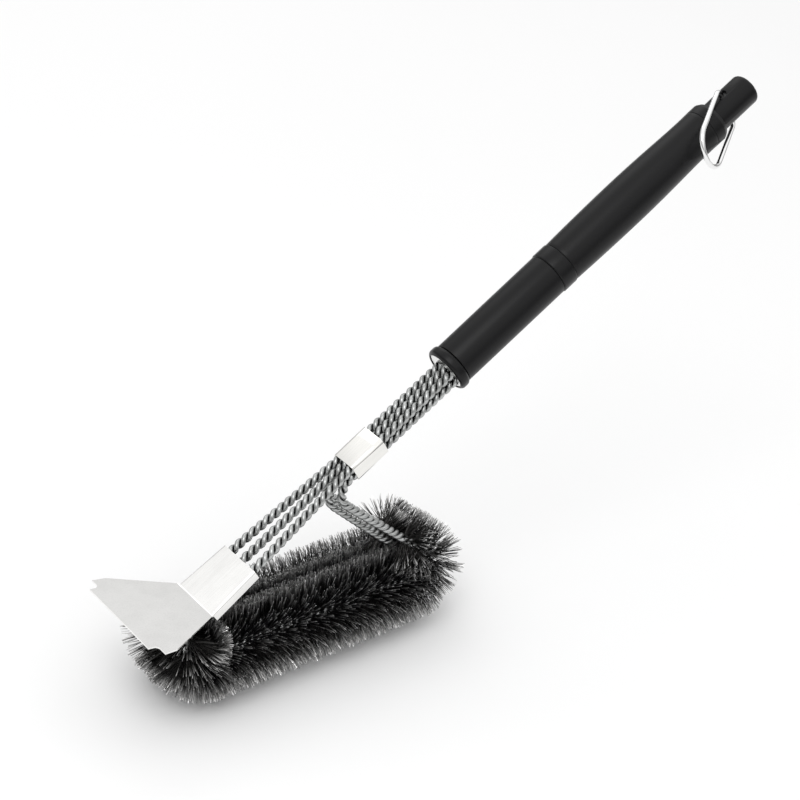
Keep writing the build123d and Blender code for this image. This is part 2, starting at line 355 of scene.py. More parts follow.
def object_noise(tree: Tree, stretch: Sequence[float], turn: float, detail: float) -> Node:
    """Noise on object coordinates, stretched along the handle's direction.

    Args:
        tree: node tree to add to.
        stretch: scale along the turned X, Y and Z.
        turn: turn about Y in radians, so that X can follow the handle.
        detail: noise detail.

    Returns:
        The noise node.
    """
    place = tree.nodes.new("ShaderNodeTexCoord")
    mapping = tree.nodes.new("ShaderNodeMapping")
    mapping.vector_type = "TEXTURE"
    mapping.inputs["Rotation"].default_value = (0, turn, 0)
    mapping.inputs["Scale"].default_value = [1.0 / s for s in stretch]
    noise = tree.nodes.new("ShaderNodeTexNoise")
    noise.inputs["Scale"].default_value = 1.0
    noise.inputs["Detail"].default_value = detail
    tree.links.new(place.outputs["Object"], mapping.inputs["Vector"])
    tree.links.new(mapping.outputs["Vector"], noise.inputs["Vector"])
    return noise


def spread(
    tree: Tree, source: Socket, low: object, high: object, start: float = 0.0, stop: float = 1.0
) -> Socket:
    """Maps the values from start to stop onto low to high, either of which may be a socket.

    Args:
        tree: node tree to add to.
        source: value to map.
        low: result at start.
        high: result at stop.
        start: value that gives low.
        stop: value that gives high.

    Returns:
        The result socket.
    """
    node = tree.nodes.new("ShaderNodeMapRange")
    node.inputs["From Min"].default_value = start
    node.inputs["From Max"].default_value = stop
    tree.links.new(source, node.inputs["Value"])
    for label, value in (("To Min", low), ("To Max", high)):
        if isinstance(value, Socket):
            tree.links.new(value, node.inputs[label])
        else:
            node.inputs[label].default_value = value
    return node.outputs["Result"]


def attribute(tree: Tree, name: str) -> Socket:
    """The value that each point of the mesh holds under a name."""
    node = tree.nodes.new("ShaderNodeAttribute")
    node.attribute_name = name
    return node.outputs["Fac"]


def surface_group(name: str, rough: tuple[float, float], height: float) -> Tree:
    """An empty group that takes a range of roughness and a height of relief.

    Args:
        name: group name.
        rough: default roughness range.
        height: default strength of the relief.

    Returns:
        The group.
    """
    return new_group(
        name,
        {"Rough Low": rough[0], "Rough High": rough[1], "Height": height},
        {"Roughness": "NodeSocketFloat", "Shade": "NodeSocketFloat", "Normal": "NodeSocketVector"},
    )


def end_surface(
    tree: Tree,
    mask: Socket,
    relief: Socket,
    shades: tuple[float, float],
    depth: float,
) -> Tree:
    """Joins a surface group's patterns to its outputs.

    Args:
        tree: the group.
        mask: pattern that roughness and shade follow.
        relief: pattern that the normal follows.
        shades: shade at 0 and at 1.
        depth: depth of the relief in metres.

    Returns:
        The group.
    """
    entry, leave = tree.nodes["in"], tree.nodes["out"]
    rough = spread(tree, mask, entry.outputs["Rough Low"], entry.outputs["Rough High"])
    bump = tree.nodes.new("ShaderNodeBump")
    bump.inputs["Distance"].default_value = depth
    tree.links.new(entry.outputs["Height"], bump.inputs["Strength"])
    tree.links.new(relief, bump.inputs["Height"])
    tree.links.new(rough, leave.inputs["Roughness"])
    tree.links.new(spread(tree, mask, *shades), leave.inputs["Shade"])
    tree.links.new(bump.outputs["Normal"], leave.inputs["Normal"])
    return tree


def build_drawn_grain() -> Tree:
    """Fine lines that rolling and polishing leave along sheet or wire."""
    tree = surface_group("drawn_grain", (0.1, 0.2), 0.1)
    lines = object_noise(tree, (60, 1800, 1800), -AXIS.slope, 4)
    patches = object_noise(tree, (35, 60, 60), -AXIS.slope, 2)
    line_share, patch_share = 0.55, 0.45
    mixed = tree.nodes.new("ShaderNodeMath")
    mixed.operation = "MULTIPLY_ADD"
    mixed.inputs[1].default_value = line_share
    patch_part = tree.nodes.new("ShaderNodeMath")
    patch_part.operation = "MULTIPLY"
    patch_part.inputs[1].default_value = patch_share
    tree.links.new(patches.outputs["Fac"], patch_part.inputs[0])
    tree.links.new(lines.outputs["Fac"], mixed.inputs[0])
    tree.links.new(patch_part.outputs[0], mixed.inputs[2])
    return end_surface(tree, mixed.outputs[0], lines.outputs["Fac"], (0.86, 1.08), 0.00002)


def build_moulded_skin() -> Tree:
    """Fine moulded texture with soft, slightly polished patches from handling."""
    tree = surface_group("moulded_skin", (0.3, 0.5), 0.2)
    grains = object_noise(tree, (2600, 2600, 2600), 0.0, 2)
    patches = object_noise(tree, (28, 60, 60), -AXIS.slope, 3)
    return end_surface(tree, patches.outputs["Fac"], grains.outputs["Fac"], (0.8, 1.2), 0.00005)


def build_soot() -> Tree:
    """Patchy darkening, such as smoke and oil leave: a mask from 0 to 1."""
    group = new_group("soot", {"Amount": 0.3}, {"Mask": "NodeSocketFloat"})
    tree, entry, leave = group, group.nodes["in"], group.nodes["out"]
    cloud = object_noise(tree, (140, 140, 140), 0.0, 5)
    scale = tree.nodes.new("ShaderNodeMath")
    scale.operation = "MULTIPLY"
    tree.links.new(spread(tree, cloud.outputs["Fac"], 0.0, 1.0, 0.42, 0.72), scale.inputs[0])
    tree.links.new(entry.outputs["Amount"], scale.inputs[1])
    tree.links.new(scale.outputs[0], leave.inputs["Mask"])
    return group


GROUPS = {
    "drawn_grain": build_drawn_grain(),
    "moulded_skin": build_moulded_skin(),
    "soot": build_soot(),
}


def place_group(tree: Tree, name: str, **values: float) -> Node:
    """Puts a shared effect in a material with its own values.

    Args:
        tree: the material's node tree.
        name: key in GROUPS.
        values: input values, underscores standing for spaces.

    Returns:
        The group node.
    """
    node = tree.nodes.new("ShaderNodeGroup")
    node.node_tree = GROUPS[name]
    for label, value in values.items():
        node.inputs[label.replace("_", " ")].default_value = value
    return node


def shaded_colour(tree: Tree, colour: object, shade: Socket) -> Socket:
    """A colour multiplied by a shade that changes over the surface.

    Args:
        tree: node tree to add to.
        colour: a socket, or red, green and blue.
        shade: multiplier socket.

    Returns:
        The colour socket.
    """
    node = tree.nodes.new("ShaderNodeVectorMath")
    node.operation = "SCALE"
    if isinstance(colour, Socket):
        tree.links.new(colour, node.inputs[0])
    else:
        node.inputs[0].default_value = tuple(colour)
    tree.links.new(shade, node.inputs["Scale"])
    return node.outputs["Vector"]


def mixed_colour(tree: Tree, mask: Socket, low: object, high: object) -> Socket:
    """Mix of two colours, each a socket or red, green and blue.

    Args:
        tree: node tree to add to.
        mask: 0 for low and 1 for high.
        low: first colour.
        high: second colour.

    Returns:
        The colour socket.
    """
    node = tree.nodes.new("ShaderNodeMix")
    node.data_type = "RGBA"
    tree.links.new(mask, node.inputs[0])
    for index, value in ((6, low), (7, high)):
        if isinstance(value, Socket):
            tree.links.new(value, node.inputs[index])
        else:
            node.inputs[index].default_value = (*value, 1.0)
    return node.outputs[2]


def empty_material(name: str) -> tuple[Material, Tree, Node]:
    """A material with one Principled shader.

    Args:
        name: material name.

    Returns:
        The material, its tree and the shader node.
    """
    material = bpy.data.materials.new(name)
    material.use_nodes = True
    tree = material.node_tree
    return material, tree, tree.nodes["Principled BSDF"]


# ---- finishes ----


@dataclass(frozen=True)
class SteelFinish:
    """Sheet, wire or turned steel with drawn lines, a little soot and, where asked, painted shade in the
    grooves between strands.
    """

    name: str
    colour: tuple[float, float, float]
    rough: tuple[float, float]
    height: float = 0.1
    soot: float = 0.0
    soot_colour: tuple[float, float, float] = (0.10, 0.095, 0.085)
    # painted shade: how much the grooves between the rope's strands are darkened, following the depth
    # attribute
    groove_shade: float = 0.0
    groove_shade_span: tuple[float, float] = (0.36, 0.72)
    groove_shade_colour: tuple[float, float, float] = (0.012, 0.012, 0.012)

    def material(self) -> Material:
        """Builds the material."""
        material, tree, shader = empty_material(self.name)
        grain = place_group(
            tree, "drawn_grain", Rough_Low=self.rough[0], Rough_High=self.rough[1], Height=self.height
        )
        colour = shaded_colour(tree, self.colour, grain.outputs["Shade"])
        if self.soot:
            soot = place_group(tree, "soot", Amount=self.soot)
            colour = mixed_colour(tree, soot.outputs["Mask"], colour, self.soot_colour)
        # painted shade: colour pulled towards the dark groove colour where the depth attribute puts the
        # surface deep between the strands
        if self.groove_shade:
            groove_shade_mask = spread(tree, attribute(tree, "depth"), 0.0, self.groove_shade, *self.groove_shade_span)
            colour = mixed_colour(tree, groove_shade_mask, colour, self.groove_shade_colour)
        tree.links.new(colour, shader.inputs["Base Color"])
        tree.links.new(grain.outputs["Roughness"], shader.inputs["Roughness"])
        tree.links.new(grain.outputs["Normal"], shader.inputs["Normal"])
        shader.inputs["Metallic"].default_value = 1.0
        return material


@dataclass(frozen=True)
class PlasticFinish:
    """Moulded plastic with a fine skin and polished patches."""

    name: str
    colour: tuple[float, float, float]
    rough: tuple[float, float]
    height: float = 0.2
    specular: float = 0.5

    def material(self) -> Material:
        """Builds the material."""
        material, tree, shader = empty_material(self.name)
        skin = place_group(
            tree, "moulded_skin", Rough_Low=self.rough[0], Rough_High=self.rough[1], Height=self.height
        )
        colour = shaded_colour(tree, self.colour, skin.outputs["Shade"])
        tree.links.new(colour, shader.inputs["Base Color"])
        tree.links.new(skin.outputs["Roughness"], shader.inputs["Roughness"])
        tree.links.new(skin.outputs["Normal"], shader.inputs["Normal"])
        shader.inputs["Specular IOR Level"].default_value = self.specular
        return material


@dataclass(frozen=True)
class BristleFinish:
    """Bristle wire: darker towards the root as painted shade, brighter near the tips as a painted highlight.
    """

    name: str
    # root is the painted shade colour at the wire's root, tip the painted highlight colour at its tip
    root: tuple[float, float, float]
    tip: tuple[float, float, float]
    rough: float
    tip_highlight_from: float = 0.72
    tones: tuple[float, float] = (0.15, 1.8)

    def material(self) -> Material:
        """Builds the material, which reads each wire's own reach and tone."""
        material, tree, shader = empty_material(self.name)
        # painted shade at the root blends into a painted highlight at the tip along each wire's reach
        tip_highlight_mask = spread(tree, attribute(tree, "reach"), 0.0, 1.0, self.tip_highlight_from)
        colour = mixed_colour(tree, tip_highlight_mask, self.root, self.tip)
        shade = spread(tree, attribute(tree, "tone"), *self.tones)
        tree.links.new(shaded_colour(tree, colour, shade), shader.inputs["Base Color"])
        shader.inputs["Roughness"].default_value = self.rough
        shader.inputs["Metallic"].default_value = 0.9
        return material


def made(finish: SteelFinish | PlasticFinish | BristleFinish) -> Material:
    """A dataclass field whose value is the finish's material, built with the class."""
    return field(default_factory=finish.material)


@dataclass
class Finishes:
    """All finishes of the brush, built once."""

    sheet: Material = made(SteelFinish("polished_sheet", (0.92, 0.915, 0.90), (0.06, 0.13), 0.03, 0.04))
    band: Material = made(SteelFinish("polished_band", (0.90, 0.89, 0.86), (0.05, 0.10), 0.03))
    # the rope wire gets painted shade in the grooves between its strands
    wire: Material = made(SteelFinish("rope_wire", (0.50, 0.51, 0.505), (0.22, 0.34), 0.25, 0.35, groove_shade=0.9))
    washer: Material = made(SteelFinish("washer_steel", (0.80, 0.80, 0.79), (0.18, 0.3), 0.1))
    chrome: Material = made(SteelFinish("loop_chrome", (0.90, 0.90, 0.90), (0.04, 0.09), 0.03))
    inner: Material = made(SteelFinish("inner_tube", (0.5, 0.5, 0.5), (0.35, 0.5), 0.2))
    grip: Material = made(PlasticFinish("grip_plastic", (0.004, 0.004, 0.0045), (0.30, 0.42), 0.22, 0.22))
    trim: Material = made(PlasticFinish("trim_plastic", (0.004, 0.004, 0.0045), (0.26, 0.36), 0.12, 0.22))
    plug: Material = made(PlasticFinish("plug_plastic", (0.008, 0.008, 0.008), (0.6, 0.7), 0.3))
    # bristles: painted shade at the roots, painted highlight at the tips
    bristle: Material = made(BristleFinish("bristle_wire", (0.032, 0.031, 0.030), (0.60, 0.595, 0.59), 0.32))


def dress(obj: Object, material: Material, slot: str, body: str, *nodes: str) -> None:
    """Gives a new piece its material, body and the CAD nodes it stands for.

    Args:
        obj: the piece.
        material: its material.
        slot: the record's material slot, not used.
        body: body that it rides on.
        nodes: CAD nodes that it replaces.
    """
    obj.data.materials.clear()
    obj.data.materials.append(material)
    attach(obj, body)
    if nodes:
        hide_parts(*nodes)
    LOG.info("%s: %d faces", obj.name, len(obj.data.polygons))


def finished_copy(node: str, name: str, bevel: float, sharp: float = 32.0) -> Object:
    """A merged copy of a CAD node with its sharp edges broken by a small bevel.

    Args:
        node: CAD node to copy.
        name: name of the copy.
        bevel: bevel width in millimetres.
        sharp: angle in degrees above which an edge counts as sharp.

    Returns:
        The copy.
    """
    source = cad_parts[node]
    mesh = source.data.copy()
    mesh.name = name
    work = bmesh.new()
    work.from_mesh(mesh)
    bmesh.ops.remove_doubles(work, verts=work.verts, dist=2e-6)
    bmesh.ops.dissolve_limit(work, angle_limit=math.radians(0.4), verts=work.verts, edges=work.edges)
    work.to_mesh(mesh)
    work.free()
    mesh.materials.clear()
    mesh.polygons.foreach_set("use_smooth", np.full(len(mesh.polygons), True))
    mesh.set_sharp_from_angle(angle=math.radians(sharp))
    obj = bpy.data.objects.new(name, mesh)
    bpy.context.scene.collection.objects.link(obj)
    edge = obj.modifiers.new("broken_edges", "BEVEL")
    edge.width = bevel * MM
    edge.segments = 2
    edge.limit_method = "ANGLE"
    edge.angle_limit = math.radians(sharp)
    edge.harden_normals = True
    return obj


# ---- sub-assemblies ----


@dataclass
class Rope:
    """One rope of two strands twisted left-handed, bent into a long closed shape."""

    side: Side
    core_spacing: float = 9.24
    clip_spacing: float = 5.0
    handle_spacing: float = 4.5
    top_n: float = 0.9
    low_front_n: float = -4.0
    low_rear_n: float = -5.4
    end_t: float = 26.0
    clip_t: float = -75.0
    sleeve_t: float = -139.2
    lift: float = CORE_LIFT
    strand_r: float = 1.27
    pitch: float = 9.3
    around: int = 10
    step: float = 0.55

    @property
    def core_y(self) -> float:
        """Sideways place of the brush core."""
        return self.side.value * self.core_spacing

    @property
    def corner_x(self) -> float:
        """Where the core's line and the riser's line meet."""
        return {Side.NEAR: 169.3, Side.MIDDLE: 157.1, Side.FAR: 165.6}[self.side] - X_SHIFT

    def corners(self) -> tuple[Array, list[float]]:
        """Corners and bend radii of the centre line, from the top end to the low end.

        The low row falls evenly from its front height to the rope's end.
        """
        k = self.side.value
        hairpin_t = {Side.NEAR: -91.3, Side.MIDDLE: -95.2, Side.FAR: -92.7}[self.side]
        fall = (self.low_rear_n - self.low_front_n) / (self.end_t - LOW_ROW_T)
        start = AXIS.at(self.end_t, k * self.handle_spacing, self.top_n)
        clip = AXIS.at(self.clip_t, k * self.clip_spacing, self.top_n)
        sleeve = AXIS.at(self.sleeve_t, self.core_y, self.top_n)
        drop = (sleeve[2] - self.lift) / AXIS.along[2]
        front = np.array([sleeve[0] - drop * AXIS.along[0], self.core_y, self.lift])
        rear = np.array([self.corner_x, self.core_y, self.lift])
        low = self.low_front_n + fall * (hairpin_t - LOW_ROW_T)
        hairpin = AXIS.at(hairpin_t, k * self.clip_spacing, low)
        end = AXIS.at(self.end_t, k * self.handle_spacing, self.low_rear_n)
        route = np.array([start, clip, sleeve, front, rear, hairpin, end])
        return route, [60, 30, FRONT_BEND_R, 6.5, 10.0]

    def centre_line(self, step: float) -> Array:
        """Points of the centre line at an even step."""
        points, radii = self.corners()
        if self.side is Side.MIDDLE:
            points, radii = points[[0, 3, 4, 5, 6]], radii[2:]
        return rounded_path(points, radii, step)

    def twist(self, s: Array) -> Array:
        """Angle of the first strand at distance s: a left-hand turn each pitch."""
        return -2 * math.pi * s / self.pitch + self.side.value * math.pi / 2

    def build(self, finishes: Finishes) -> Object:
        """Both strands: centre + r*(cos(q)*side + sin(q)*normal), q turning with s.

        Args:
            finishes: the brush's finishes.

        Returns:
            The rope.
        """
        path = self.centre_line(self.step)
        s = np.concatenate([[0], np.cumsum(np.linalg.norm(np.diff(path, axis=0), axis=1))])
        _, across, up = frames(path, SIDEWAYS)
        points, faces, depths, first = [], [], [], 0
        for half in (0.0, math.pi):
            q = (self.twist(s) + half)[:, None]
            offset = np.cos(q) * across + np.sin(q) * up
            grid = tube(path + self.strand_r * offset, self.strand_r, self.around, offset)
            # depth drives the painted shade in the grooves between the strands
            outside = ((grid - path[:, None]) * offset[:, None]).sum(axis=2) / (2 * self.strand_r)
            depths.append(1.0 - np.clip(outside, 0, 1).ravel())
            quads = grid_quads(len(path), self.around, False, True, first)
            ring = np.arange(self.around)
            ends = np.stack([ring, ring[::-1] + (len(path) - 1) * self.around])
            group = outward(
                np.vstack(points + [grid.reshape(-1, 3)]), [quads[:, ::-1], ends[:, ::-1] + first]
            )
            points.append(grid.reshape(-1, 3))
            faces += group
            first += grid.shape[0] * grid.shape[1]
        rope = put_mesh(f"rope_{self.side.word}_wires", np.vstack(points), faces, 60)
        store(rope, "depth", np.concatenate(depths))
        dress(rope, finishes.wire, "rope_wire", "brush", f"rope_{self.side.word}")
        return rope


@dataclass
class Bristles:
    """Bristle wires held between one rope's strands."""

    rope: Rope
    reach: float = 22.4
    reach_spread: float = 0.8
    wire_r: float = 0.17
    curl: float = 0.7
    lean: float = 0.05
    fan_of_turn: float = 0.26
    run_count: int = 4300
    front_count: int = 1350
    rear_count: int = 900
    rear_reach: float = 18.0
    row_room: float = 7.5
    seed: int = 7
    floor: float = 0.06
    sample: float = 0.25
    front_arc: float = math.radians(112)
    rear_run: float = 42.0
    clear: float = 2.7

    def stretch(self, zone: Zone) -> tuple[float, float]:
        """Distances along the rope at which a zone starts and ends."""
        path = self.rope.centre_line(self.sample)
        s = np.arange(len(path)) * self.sample
        core = s[path[:, 2] < self.rope.lift + 0.02]
        if zone is Zone.RUN:
            return float(core[0]), float(core[-1])
        if zone is Zone.FRONT:
            return float(core[0]) - FRONT_BEND_R * self.front_arc, float(core[0])
        return float(core[-1]), float(core[-1]) + self.rear_run

    def wires(self, zone: Zone) -> tuple[Array, Array, Array]:
        """Root, direction and length of each wire.

        A wire at distance s leaves square to the strands, at the twist angle plus
        a quarter or three quarters of a turn, with a small random spread.

        Args:
            zone: stretch of the rope.

        Returns:
            Arrays of roots, directions and lengths.
        """
        count = {Zone.RUN: self.run_count, Zone.FRONT: self.front_count, Zone.REAR: self.rear_count}[zone]
        place = self.rope.side.value + 2
        rng = np.random.default_rng(self.seed + 31 * place + 101 * list(Zone).index(zone))
        s0, s1 = self.stretch(zone)
        share = rng.random(count)
        if zone is Zone.REAR:
            share = share**1.5
        elif zone is Zone.FRONT:
            share = 1.0 - share**1.8
        s = s0 + (s1 - s0) * share
        path = self.rope.centre_line(self.sample)
        along, across, up = frames(path, SIDEWAYS)
        i = np.clip((s / self.sample).astype(int), 0, len(path) - 1)
        q = self.rope.twist(s) + math.pi / 2 + math.pi * rng.integers(0, 2, count)
        q = q + rng.normal(0, self.fan_of_turn, count)
        flat, tall = self.between_rows(np.cos(q) * across[i, 1], np.sin(q), rng)
        square = (flat * across[i, 1])[:, None] * across[i] + tall[:, None] * up[i]
        aim = unit(square + rng.normal(0, self.lean, (count, 1)) * along[i])
        reach = self.rear_reach if zone is Zone.REAR else self.reach
        length = reach + np.clip(rng.normal(0, self.reach_spread, count), -2.5, 0.7)
        length = length * np.where(rng.random(count) < 0.06, rng.uniform(0.7, 1.0, count), 1.0)
        return path[i], aim, length

    def between_rows(self, flat: Array, tall: Array, rng: np.random.Generator) -> tuple[Array, Array]:
        """Turns wires that would meet the next row up or down, as crowded wires do.

        Args:
            flat: sideways part of each direction.
            tall: the other part of each direction.
            rng: seeded source of random numbers.

        Returns:
            Both parts, still of unit length together.
        """
        limit = self.row_room / self.reach * rng.uniform(0.35, 1.0, len(flat))
        low = -limit if self.rope.side is not Side.NEAR else np.full(len(flat), -1.0)
        high = limit if self.rope.side is not Side.FAR else np.full(len(flat), 1.0)
        flat = np.clip(flat, low, high)
        return flat, np.where(tall < 0, -1.0, 1.0) * np.sqrt(1.0 - flat**2)

    def trimmed(self, root: Array, aim: Array, length: Array) -> tuple[Array, Array, Array]:
        """Drops wires that would pass through the neck, riser or sleeve.

        Args:
            root: roots.
            aim: directions.
            length: lengths.

        Returns:
            The kept roots, directions and lengths.
        """
        share = np.linspace(0.22, 1.0, 8)
        spots = root[:, None] + aim[:, None] * (length[:, None] * share)[..., None]
        keep = np.ones(len(root), bool)
        for side in Side:
            other = Rope(side).centre_line(3.0)
            other = other[other[:, 2] > CORE_LIFT + 4.0]
            gap = np.full(spots.shape[:2], 99.0)
            for low in range(0, len(other), 40):
                block = other[low:low + 40]
                gap = np.minimum(gap, np.linalg.norm(spots[:, :, None] - block, axis=3).min(axis=2))
            keep &= gap.min(axis=1) > self.clear
        tip = root + aim * length[:, None]
        relative = tip - AXIS.origin
        t, n = relative @ AXIS.along, relative @ AXIS.above
        sleeve_t, sleeve_n, sleeve_y = -138, -4.4, 17
        keep &= ~((t < sleeve_t) & (n > sleeve_n) & (np.abs(tip[:, 1]) < sleeve_y))
        return root[keep], aim[keep], length[keep]

    def build(self, zone: Zone, finishes: Finishes) -> Object:
        """Thin three-sided wires, slightly curled: root + f*L*aim + c*f^2*curl.

        Args:
            zone: stretch of the rope.
            finishes: the brush's finishes.

        Returns:
            The bristles as one piece.
        """
        root, aim, length = self.trimmed(*self.wires(zone))
        count = len(root)
        rng = np.random.default_rng(self.seed + 977 + 13 * (self.rope.side.value + 2))
        bend = rng.normal(0, self.curl, (count, 3))
        bend -= (bend * aim).sum(axis=1, keepdims=True) * aim
        f = np.array([0.03, 0.55, 1.0])
        line = root[:, None] + aim[:, None] * (length[:, None] * f)[..., None]
        line = line + bend[:, None] * (f**2)[:, None]
        line[:, :, 2] = np.maximum(line[:, :, 2], self.floor + 0.25)
        across = unit(np.cross(aim, unit(rng.normal(0, 1, (count, 3)))))
        other = np.cross(aim, across)
        q = np.arange(3) * 2 * math.pi / 3
        ring = np.cos(q)[:, None] * across[:, None] + np.sin(q)[:, None] * other[:, None]
        thick = self.wire_r * rng.uniform(0.8, 1.15, count)
        points = line[:, :, None] + ring[:, None] * thick[:, None, None, None]
        base = (np.arange(count) * 9)[:, None, None]
        k = np.arange(3)
        m = (k + 1) % 3
        quad = np.stack([k, m, m + 3, k + 3], axis=-1)
        quads = np.concatenate([base + quad, base + quad + 3], axis=1).reshape(-1, 4)
        tips = (base[:, 0] + np.array([6, 7, 8])).reshape(-1, 3)
        node = f"bristles_{self.rope.side.word}_{zone.value}"
        piece = put_mesh(f"{node}_wires", points.reshape(-1, 3), [quads, tips], 75)
        # reach runs from root to tip and drives the bristles' painted shade and painted highlight
        store(piece, "reach", np.broadcast_to(f[None, :, None], (count, 3, 3)))
        store(piece, "tone", np.broadcast_to(rng.random(count)[:, None, None], (count, 3, 3)))
        dress(piece, finishes.bristle, "bristle_wire", "brush", node)
        return piece


@dataclass
class Scraper:
    """Folded sheet: flat sleeve round the ropes and flared blade."""

    edge: float = 0.16

    def build(self, finishes: Finishes) -> Object:
        """The sheet with its cut edges broken."""
        sheet = finished_copy("scraper", "scraper_sheet", self.edge)
        dress(sheet, finishes.sheet, "sheet_steel", "brush", "scraper")
        return sheet


@dataclass
class Clip:
    """Flat rounded band that holds the six ropes together."""

    t_front: float = -75.0
    length: float = 21.0
    width: float = 16.2
    low_n: float = -7.35
    top_n: float = 3.8
    corner: float = 2.6
    sheet: float = 0.6
    lip: float = 0.18

    def outline(self, inset: float) -> Array:
        """Closed rounded rectangle in (y, n), drawn in by inset, 16 points a corner.

        Args:
            inset: distance inside the outer surface.

        Returns:
            Points of the outline.
        """
        r = self.corner - inset
        y, n = self.width / 2 - self.corner, (self.top_n - self.low_n) / 2 - self.corner
        q = np.linspace(0, math.pi / 2, 16)
        parts = [
            np.stack([sy * y + r * np.cos(q + turn), sn * n + r * np.sin(q + turn)], axis=1)
            for sy, sn, turn in ((1, 1, 0), (-1, 1, math.pi / 2), (-1, -1, math.pi), (1, -1, 1.5 * math.pi))
        ]
        return np.vstack(parts) + np.array([0, (self.top_n + self.low_n) / 2])

    def build(self, finishes: Finishes) -> Object:
        """The band: its outline carried along the axis, outside and back inside.

        Args:
            finishes: the brush's finishes.

        Returns:
            The clip.
        """
        e = self.lip
        stations = [
            (0.0, e), (0.3 * e, 0.3 * e), (e, 0.0),
            (self.length - e, 0.0), (self.length - 0.3 * e, 0.3 * e), (self.length, e),
            (self.length, self.sheet - e), (self.length - e, self.sheet),
            (e, self.sheet), (0.0, self.sheet - e),
        ]
        rows = [AXIS.at(self.t_front + t, *self.outline(inset).T) for t, inset in stations]
        grid = np.stack(rows)
        faces = outward(grid.reshape(-1, 3), [grid_quads(grid.shape[0], grid.shape[1], True, True)])
        clip = put_mesh("clip_band", grid.reshape(-1, 3), faces, 38)
        dress(clip, finishes.band, "sheet_steel", "brush", "wire_clip")
        return clip


@dataclass
class Handle:
    """Washer, bead, grips, band, ring and cap about the handle's axis."""

    bore: float = 10.05
    bead_r: float = 12.85
    bead_t: tuple[float, float] = (-4.1, 2.1)
    front_t: tuple[float, float] = (2.1, 71.7)
    front_r: tuple[float, float] = (11.78, 11.93)
    band_t: tuple[float, float] = (71.7, 80.9)
    band_r: float = 12.35
    rear_t: tuple[float, float] = (80.9, 189.0)
    ring_t: tuple[float, float, float] = (189.0, 194.7, 197.0)
    ring_r: tuple[float, float] = (11.8, 10.6)

    def rear_outline(self) -> Array:
        """Radius of the rear grip: a smooth swell through a few stations.

        Returns:
            (t, r) points from front to rear.
        """
        t = np.array([80.9, 90.0, 101.0, 113.0, 126.0, 141.0, 156.7, 167.0, 176.0, 189.0])
        r = np.array([11.95, 12.25, 12.48, 12.70, 12.80, 12.68, 12.38, 12.02, 11.75, 11.80])
        fine = np.linspace(t[0] + 0.5, t[-1] - 0.35, 60)
        smooth = np.polyval(np.polyfit(t - 135, r, 5), fine - 135)
        return np.stack([fine, smooth], axis=1)

    def sleeve(self, name: str, outer: list[tuple], radii: list[float]) -> Object:
        """Turned sleeve: its outer line from front to rear, then back along the bore.

        Args:
            name: object name.
            outer: (t, r) corners of the outer line.
            radii: rounding at each of them.

        Returns:
            The sleeve.
        """
        b, t0, t1 = self.bore, outer[0][0], outer[-1][0]
        outline = [(t0, b + 0.4), *outer, (t1, b), (t0, b), (t0, b + 0.4)]
        return turned(name, outline, [*radii, 0, 0])

    def build(self, finishes: Finishes) -> None:
        """Builds and dresses every piece of the handle.

        Args:
            finishes: the brush's finishes.
        """
        b = self.bore
        t0, t1 = self.bead_t
        bead = turned(
            "front_bead",
            [
                (t0, 11.4), (t0, self.bead_r), (t1, self.bead_r), (t1, b),
                (-2.7, b), (-2.7, 11.05), (t0, 11.05), (t0, 11.4),
            ],
            [2.0, 2.4, 0, 0, 0, 0.15],
        )
        dress(bead, finishes.trim, "trim_plastic", "brush", "front_flange")

        (t0, t1), (r0, r1) = self.front_t, self.front_r
        skin = self.sleeve("grip_front_skin", [(t0, r0), (t1, r1)], [0.35, 0.45])
        dress(skin, finishes.grip, "grip_plastic", "brush", "grip_front")

        t0, t1 = self.band_t
        band = self.sleeve("centre_band_ring", [(t0, self.band_r), (t1, self.band_r)], [0.8, 0.8])
        dress(band, finishes.trim, "trim_plastic", "brush", "centre_band")

        swell = self.rear_outline()
        t0, t1 = self.rear_t
        r0, r1 = swell[0, 1], swell[-1, 1]
        outer = [(t0, r0 - 0.5), (t0 + 0.15, r0 - 0.15), *(tuple(p) for p in swell)]
        outer += [(t1 - 0.1, r1 - 0.12), (t1, r1 - 0.4)]
        rear = self.sleeve("grip_rear_skin", outer, [0] * len(outer))
        dress(rear, finishes.grip, "grip_plastic", "brush", "grip_rear")

        (ta, tb, tc), (ra, rb) = self.ring_t, self.ring_r
        ring = self.sleeve("shoulder_ring_skin", [(ta, ra), (tb, ra), (tc, rb)], [0.4, 1.2, 0.35])
        dress(ring, finishes.trim, "trim_plastic", "brush", "shoulder_ring")

        cap = finished_copy("end_cap", "end_cap_skin", 0.22, 30)
        dress(cap, finishes.trim, "trim_plastic", "brush", "end_cap")
        washer = finished_copy("front_washer", "front_washer_disc", 0.14, 30)
        dress(washer, finishes.washer, "washer_steel", "brush", "front_washer")


